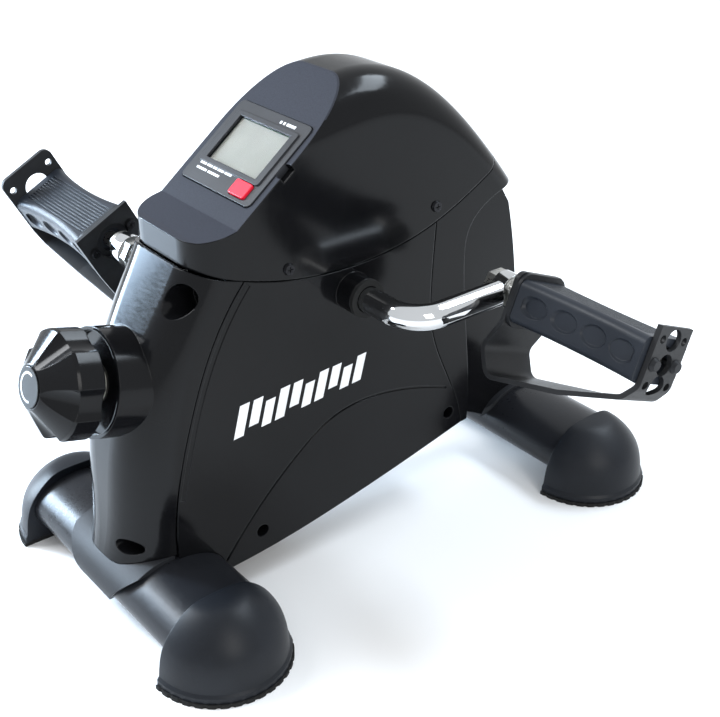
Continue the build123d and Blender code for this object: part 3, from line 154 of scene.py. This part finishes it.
def gloss_plastic(name):
    """High-gloss black moulding: faint waviness from the tool and hairline handling marks."""
    s = Shader(name)
    drift = s.noise(9.0, 3.0)
    wave = s.noise(30.0, 1.5)
    hair = s.noise(160.0, 6.0, 0.7, (1.0, 9.0, 1.0))
    s.link(s.mix(s.spread(drift, 0.0, 1.0), GLOSS_DARK, GLOSS_LIGHT), "Base Color")
    s.link(s.spread(hair, 0.11, 0.19, 0.35, 0.75), "Roughness")
    s.put(Specular_IOR_Level=GLOSS_LEVEL)
    s.relief([(wave, 0.25, 0.00012)], 0.0009)
    return s.mat


def metal(name, dark, light, rough, stretch=None, scale=500.0, depth=0.00002, bevel=0.0003):
    """Bare or plated metal with a directional finish."""
    s = Shader(name)
    drift = s.noise(30.0, 3.0)
    brush = s.noise(scale, 4.0, 0.6, stretch)
    s.link(s.mix(s.spread(drift, 0.0, 1.0), dark, light), "Base Color")
    s.link(s.spread(brush, rough[0], rough[1]), "Roughness")
    s.put(Metallic=1.0)
    s.relief([(brush, 0.25, depth)], bevel)
    return s.mat


def painted(name):
    """Powder-coated steel: orange-peel skin, a little polish on high spots."""
    s = Shader(name)
    peel = s.noise(420.0, 2.0)
    drift = s.noise(14.0, 4.0)
    s.link(s.mix(s.spread(drift, 0.0, 1.0), (0.008, 0.0085, 0.0105), (0.013, 0.014, 0.017)), "Base Color")
    s.link(s.spread(s.math("ADD", s.math("MULTIPLY", drift, 0.6), s.math("MULTIPLY", peel, 0.4)), 0.24, 0.36),
           "Roughness")
    s.put(Specular_IOR_Level=0.25)
    s.relief([(peel, 0.4, 0.00008)], 0.0004)
    return s.mat


def fabric_felt(name):
    s = Shader(name)
    fibre = s.noise(1500.0, 6.0, 0.75)
    s.link(s.mix(s.spread(fibre, 0.0, 1.0), (0.30, 0.27, 0.22), (0.52, 0.48, 0.41)), "Base Color")
    s.link(s.spread(fibre, 0.85, 0.98), "Roughness")
    s.put(Sheen_Weight=0.4)
    s.relief([(fibre, 0.8, 0.0003)], 0.0002)
    return s.mat


# ------------------------------------------------------------------ the hood: glossy shell, matte deck
DECK_BELOW_CONSOLE = 0.0046   # from the console's middle to the deck along its normal, metres
SHELF_RISE = 0.0163           # the shelf's front edge above the front cover
SHELF_FRONT_Y = -0.126
SHELF_SLOPE = 0.214
MASK_REACH = 0.0009           # how near to the cut surface a point counts as part of it
MASK_FACING = 0.45            # least upward part of its normal


def cut_surface_height(s, y):
    """Height of the shelf and sloping deck over a point's Y, from the console's own place."""
    low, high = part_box("console_case")
    mid_y = (low.y + high.y) / 2
    joint = next(j for j in frame["joints"] if j["name"] == "console_pull")
    axis = joint["axis"]
    slope = -axis[1] / axis[2]
    mid_z = (low.z + high.z) / 2 + DECK_BELOW_CONSOLE / axis[2]
    deck = s.math("ADD", s.math("MULTIPLY", s.math("SUBTRACT", y, mid_y), slope), mid_z)
    shelf_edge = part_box("front_cover")[1].z + SHELF_RISE
    shelf = s.math("ADD", s.math("MULTIPLY", s.math("ADD", y, -SHELF_FRONT_Y), SHELF_SLOPE), shelf_edge)
    return s.math("MAXIMUM", s.math("MAXIMUM", shelf, shelf_edge), deck)


def hood_plastic(name):
    s = Shader(name)
    split = s.nodes.new("ShaderNodeSeparateXYZ")
    s.links.new(s.coord, split.inputs["Vector"])
    geometry = s.nodes.new("ShaderNodeNewGeometry")
    facing = s.nodes.new("ShaderNodeSeparateXYZ")
    s.links.new(geometry.outputs["True Normal"], facing.inputs["Vector"])
    height = cut_surface_height(s, split.outputs["Y"])
    off = s.math("ABSOLUTE", s.math("SUBTRACT", split.outputs["Z"], height))
    level = s.math("LESS_THAN", off, MASK_REACH)
    up = s.math("GREATER_THAN", facing.outputs["Z"], MASK_FACING)
    matte = s.math("MULTIPLY", level, up)
    drift = s.noise(9.0, 3.0)
    wave = s.noise(30.0, 1.5)
    hair = s.noise(160.0, 6.0, 0.7, (1.0, 9.0, 1.0))
    grain = s.noise(1300.0, 3.0)
    gloss = s.mix(s.spread(drift, 0.0, 1.0), GLOSS_DARK, GLOSS_LIGHT)
    dull = s.mix(s.spread(grain, 0.0, 1.0), (0.027, 0.029, 0.037), (0.038, 0.041, 0.052))
    s.link(s.mix(matte, gloss, dull), "Base Color")
    shiny = s.spread(hair, 0.11, 0.19, 0.35, 0.75)
    flat = s.spread(grain, 0.40, 0.52)
    s.link(s.math("ADD", s.math("MULTIPLY", matte, flat),
                  s.math("MULTIPLY", s.math("SUBTRACT", 1.0, matte), shiny)), "Roughness")
    s.link(s.spread(matte, GLOSS_LEVEL, DULL_LEVEL), "Specular IOR Level")
    s.relief([(wave, 0.25, 0.00012), (s.math("MULTIPLY", grain, matte), 0.5, 0.00006)], 0.0011)
    return s.mat


def lcd_glass(name):
    """Grey-green liquid crystal panel with a fine dot grid."""
    s = Shader(name)
    cells = s.voronoi(2600.0)
    drift = s.noise(40.0, 2.0)
    s.link(s.mix(s.spread(drift, 0.0, 1.0), (0.48, 0.46, 0.43), (0.53, 0.51, 0.48)), "Base Color")
    s.link(s.spread(cells, 0.16, 0.24, 0.0, 0.6), "Roughness")
    s.relief([(cells, 0.1, 0.00001)], 0.0002)
    return s.mat


def clear_lens(name):
    s = Shader(name)
    smear = s.noise(60.0, 4.0)
    s.link(s.spread(smear, 0.02, 0.09), "Roughness")
    s.put(Base_Color=(0.93, 0.96, 0.94, 1.0), Transmission_Weight=1.0, IOR=1.46)
    return s.mat


def circuit_board(name):
    s = Shader(name)
    tracks = s.voronoi(260.0, "DISTANCE_TO_EDGE")
    mask = s.spread(tracks, 1.0, 0.0, 0.02, 0.06)
    s.link(s.mix(mask, (0.012, 0.085, 0.030), (0.03, 0.20, 0.07)), "Base Color")
    s.link(s.spread(tracks, 0.25, 0.4, 0.0, 0.3), "Roughness")
    s.relief([(mask, 0.4, 0.00004)], 0.0002)
    return s.mat


MATERIALS = {
    "powder_black": painted("powder_coat"),
    "zinc": metal("zinc_plate", (0.50, 0.50, 0.47), (0.66, 0.65, 0.62), (0.22, 0.42)),
    "black_oxide": metal("black_oxide", (0.020, 0.020, 0.022), (0.035, 0.035, 0.038), (0.30, 0.42)),
    "chrome": metal(
        "chrome_plate", (0.62, 0.63, 0.64), (0.70, 0.71, 0.72), (0.035, 0.10), (1.0, 1.0, 1.0),
        120.0, 0.00001),
    "cast": metal("cast_iron", (0.16, 0.16, 0.165), (0.25, 0.25, 0.255), (0.35, 0.6), None, 700.0, 0.00008),
    "magnet": metal("nickel_plate", (0.52, 0.51, 0.48), (0.62, 0.61, 0.58), (0.12, 0.24)),
    "spring_steel": metal("spring_steel", (0.22, 0.23, 0.25), (0.34, 0.35, 0.37), (0.25, 0.4)),
    "gloss_black": gloss_plastic("gloss_black"),
    "matte_black": plastic(
        "matte_black", (0.010, 0.011, 0.013), (0.017, 0.018, 0.021), (0.42, 0.58), 1100.0,
        0.00006, 0.6),
    "cap_rubber": plastic(
        "cap_rubber", (0.005, 0.0063, 0.0090), (0.009, 0.0108, 0.0148), (0.36, 0.50), 1000.0,
        0.00007, 0.6, 0.0009),
    "sole_rubber": plastic(
        "sole_rubber", (0.008, 0.008, 0.008), (0.015, 0.015, 0.015), (0.7, 0.9), 800.0, 0.0001,
        0.7),
    "pedal_plastic": plastic(
        "pedal_plastic", (0.015, 0.018, 0.024), (0.022, 0.026, 0.034), (0.34, 0.46), 700.0,
        0.00005, 0.45, 0.0006, 0.20),
    "strap_rubber": plastic(
        "strap_rubber", (0.012, 0.0125, 0.014), (0.021, 0.022, 0.024), (0.34, 0.50), 500.0,
        0.00008, 0.6, 0.0005),
    "bearing_nylon": plastic("bearing_nylon", (0.62, 0.60, 0.52), (0.72, 0.70, 0.63), (0.3, 0.45)),
    "felt": fabric_felt("brake_felt"),
    "lens": clear_lens("display_lens"),
    "lcd": lcd_glass("display_panel"),
    "board": circuit_board("circuit_board"),
    "button_red": plastic(
        "button_red", (0.74, 0.012, 0.035), (0.84, 0.020, 0.048), (0.28, 0.40), 900.0, 0.00003,
        0.4, 0.0005),
    "cable": plastic("cable_vinyl", (0.012, 0.012, 0.012), (0.02, 0.02, 0.02), (0.4, 0.55)),
    "console_black": plastic(
        "console_black", (0.019, 0.020, 0.023), (0.029, 0.031, 0.036), (0.30, 0.42), 1300.0,
        0.00004, 0.5, 0.0007),
}
MARK_WHITE = plastic(
    "mark_ink", (0.74, 0.75, 0.76), (0.84, 0.85, 0.86), (0.35, 0.5), 1500.0, 0.00001, 0.3, 0.0001)

slot_of = {part["node"]: part["material_slot"] for part in frame["record"]["subparts"]}
for node, obj in frame["nodes"].items():
    material = hood_plastic("hood_plastic") if node == "hood" else MATERIALS[slot_of[node]]
    obj.data.materials.clear()
    obj.data.materials.append(material)
    for polygon in obj.data.polygons:
        polygon.use_smooth = True
    if not obj.data.has_custom_normals:
        obj.data.set_sharp_from_angle(angle=math.radians(32))


# ------------------------------------------------------------------ thin printed marks
def add_mesh(name, verts, faces, material, body):
    mesh = bpy.data.meshes.new(name)
    mesh.from_pydata([tuple(v) for v in verts], [], faces)
    mesh.validate()
    work = bmesh.new()
    work.from_mesh(mesh)
    bmesh.ops.recalc_face_normals(work, faces=work.faces)
    work.to_mesh(mesh)
    work.free()
    obj = bpy.data.objects.new(name, mesh)
    bpy.context.scene.collection.objects.link(obj)
    mesh.materials.append(material)
    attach(obj, body)


def prism(outline, base, across, along, out, thick):
    """Vertices and faces of a thin plate whose outline is given in a local plane."""
    count = len(outline)
    verts = [base + across * (u * MM) + along * (v * MM) for u, v in outline]
    verts += [v + out * (thick * MM) for v in verts]
    faces = [tuple(range(count)), tuple(range(count, 2 * count))]
    faces += [(i, (i + 1) % count, count + (i + 1) % count, count + i) for i in range(count)]
    return verts, faces


def many_prisms(outlines, *place):
    verts, faces = [], []
    for outline in outlines:
        v, f = prism(outline, *place)
        faces += [tuple(i + len(verts) for i in face) for face in f]
        verts += v
    return verts, faces


BAR_COUNT = 10
BAR_WIDTH = 7.0
BAR_GAP = 3.0
BAR_HEIGHT = 21.0
BAR_SLANT = 5.5
BAR_FALL = 0.35         # how much shorter each bar is than the one before
BAR_STEP = 4.0          # how far a bar's foot or head is held back


def side_mark():
    """Outlines of the generic mark on each side of the body: a row of slanted bars."""
    bars = []
    lean = BAR_SLANT / BAR_HEIGHT
    for index in range(BAR_COUNT):
        low, high = 0.0, BAR_HEIGHT - BAR_FALL * index
        if index % 3 == 1:
            low = BAR_STEP
        if index % 3 == 2:
            high -= BAR_STEP
        x = index * (BAR_WIDTH + BAR_GAP)
        bars.append([(x + low * lean, low), (x + BAR_WIDTH + low * lean, low),
                     (x + BAR_WIDTH + high * lean, high), (x + high * lean, high)])
    return bars


SIDE_FACE_X = 0.040
MARK_LIFT = 0.00002
MARK_START_Y = {1: -0.1135, -1: -0.0115}
MARK_Z = 0.1115
MARK_CLIMB = 0.083
for side, body_name in ((1, "right"), (-1, "left")):
    origin = Vector((side * (SIDE_FACE_X + MARK_LIFT), MARK_START_Y[side], MARK_Z))
    across = Vector((0, side * 0.9965, side * MARK_CLIMB))
    up = Vector((0, 0, 1))
    verts, faces = many_prisms(side_mark(), origin, across, up, Vector((side, 0, 0)), 0.12)
    add_mesh("side_mark_" + body_name, verts, faces, MARK_WHITE, "base")


# ------------------------------------------------------------------ console print
pull = next(j for j in frame["joints"] if j["name"] == "console_pull")
normal = Vector(pull["axis"]).normalized()
uphill = Vector((0, normal.z, -normal.y))
right = Vector((1, 0, 0))
panel_low, panel_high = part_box("lcd_panel")


def console_point(u, v, height):
    """Point on the console: u across, v up the slope from the panel's middle, height above its face."""
    middle = (panel_low + panel_high) / 2
    return middle + right * (u * MM) + uphill * (v * MM) + normal * (height * MM)


FACE_UP = 4.02       # the case's printed face above the middle of the display panel's thickness
verts, faces = many_prisms(
    [[(x, 0), (x + 1.7, 0), (x + 1.7, 1.9), (x, 1.9)] for x in (8.0, 11.2, 14.4, 16.6, 18.8, 21.0)],
    console_point(0, 20.9, FACE_UP - 1.0), right, uphill, normal, 0.08)
add_mesh("console_ticks", verts, faces, MARK_WHITE, "console")
LEGEND_ROWS = ((-20.9, [(-27, -21), (-20, -15), (-14, -10), (-9, -3), (-2, 5)]),
               (-24.6, [(-27, -17), (-15.5, -4)]))
rows = []
for v, spans in LEGEND_ROWS:
    for a, b in spans:
        rows.append([(a, v), (b, v), (b, v + 1.5), (a, v + 1.5)])
verts, faces = many_prisms(rows, console_point(0, 0, FACE_UP - 1.0), right, uphill, normal, 0.08)
add_mesh("console_legend", verts, faces, MARK_WHITE, "console")


# ------------------------------------------------------------------ arc on the knob's badge
turn = next(j for j in frame["joints"] if j["name"] == "knob_turn")
knob_axis = Vector(turn["axis"]).normalized()
badge_low, badge_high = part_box("knob_badge")
badge_mid = (badge_low + badge_high) / 2
knob_right = Vector((1, 0, 0))
knob_up = knob_axis.cross(knob_right).normalized()
ARC_OUTER_R = 8.9
ARC_INNER_R = 7.6
ARC_START = 70          # degrees
ARC_TURN = 220
ARC_STEPS = 28


def arc_point(radius, step):
    angle = math.radians(ARC_START + ARC_TURN * step / ARC_STEPS)
    return radius * math.cos(angle), radius * math.sin(angle)


quads = [[arc_point(ARC_OUTER_R, i), arc_point(ARC_OUTER_R, i + 1), arc_point(ARC_INNER_R, i + 1),
          arc_point(ARC_INNER_R, i)] for i in range(ARC_STEPS)]
verts, faces = many_prisms(quads, badge_mid + knob_axis * 0.00096, knob_right, knob_up, knob_axis, 0.06)
add_mesh("badge_arc", verts, faces, MARK_WHITE, "knob")


# ------------------------------------------------------------------ floor, light and camera
floor_size = 12.0
mesh = bpy.data.meshes.new("floor")
mesh.from_pydata([(-floor_size, -floor_size, 0), (floor_size, -floor_size, 0), (floor_size, floor_size, 0),
                  (-floor_size, floor_size, 0)], [], [(0, 1, 2, 3)])
floor = bpy.data.objects.new("floor", mesh)
bpy.context.scene.collection.objects.link(floor)
s = Shader("pale_floor")
tone = s.noise(3.0, 2.0)
s.link(s.mix(s.spread(tone, 0.0, 1.0), (0.86, 0.86, 0.86), (0.89, 0.89, 0.89)), "Base Color")
s.link(s.spread(tone, 0.55, 0.7), "Roughness")
s.put(Specular_IOR_Level=0.2)
mesh.materials.append(s.mat)

world = bpy.data.worlds.new("studio")
bpy.context.scene.world = world
world.use_nodes = True
background = world.node_tree.nodes["Background"]
background.inputs["Color"].default_value = (0.94, 0.97, 1.0, 1.0)
background.inputs["Strength"].default_value = 0.92
bpy.context.scene.view_settings.view_transform = "Standard"


def softbox(name, place, target, size, power, colour=(1, 1, 1)):
    light = bpy.data.lights.new(name, "AREA")
    light.shape = "RECTANGLE"
    light.size, light.size_y = size
    light.energy = power
    light.color = colour
    obj = bpy.data.objects.new(name, light)
    obj.location = place
    direction = Vector(target) - Vector(place)
    obj.rotation_euler = direction.to_track_quat("-Z", "Y").to_euler()
    bpy.context.scene.collection.objects.link(obj)


softbox("key_softbox", (-1.3, -1.1, 1.9), (0, 0, 0.15), (0.9, 0.9), 44.0, (0.94, 0.97, 1.0))
softbox("strip_left", (-1.3, -0.75, 0.50), (0, -0.1, 0.15), (0.16, 1.0), 34.0, (0.74, 0.87, 1.0))
softbox("low_left", (-0.55, -0.45, 0.30), (-0.36, -0.24, 0.0), (0.12, 0.35), 5.0, (0.56, 0.76, 1.0))
softbox("fill_right", (1.9, -0.3, 1.3), (0, 0, 0.15), (0.7, 1.2), 14.0, (1.0, 0.99, 0.97))
softbox("top_back", (0.3, 1.5, 2.1), (0, 0, 0.2), (1.5, 0.6), 40.0, (0.80, 0.90, 1.0))

CAMERA_PLACE = (0.5675, -0.4467, 0.5027)
CAMERA_LENS = 61.42
azimuth, elevation, roll = math.radians(50.85), math.radians(28.41), math.radians(0.57)
back = Vector((math.sin(azimuth) * math.cos(elevation), -math.cos(azimuth) * math.cos(elevation),
               math.sin(elevation)))
level = Vector((math.cos(azimuth), math.sin(azimuth), 0))
upward = back.cross(level)
camera_right = level * math.cos(roll) + upward * math.sin(roll)
camera_up = -level * math.sin(roll) + upward * math.cos(roll)
data = bpy.data.cameras.new("camera")
data.sensor_fit = "HORIZONTAL"
data.sensor_width = 36.0
data.lens = CAMERA_LENS
data.clip_start = 0.01
camera = bpy.data.objects.new("camera", data)
camera.matrix_world = Matrix((
    (camera_right.x, camera_up.x, back.x, CAMERA_PLACE[0]),
    (camera_right.y, camera_up.y, back.y, CAMERA_PLACE[1]),
    (camera_right.z, camera_up.z, back.z, CAMERA_PLACE[2]),
    (0, 0, 0, 1)))
bpy.context.scene.collection.objects.link(camera)
bpy.context.scene.camera = camera

bpy.context.view_layer.update()
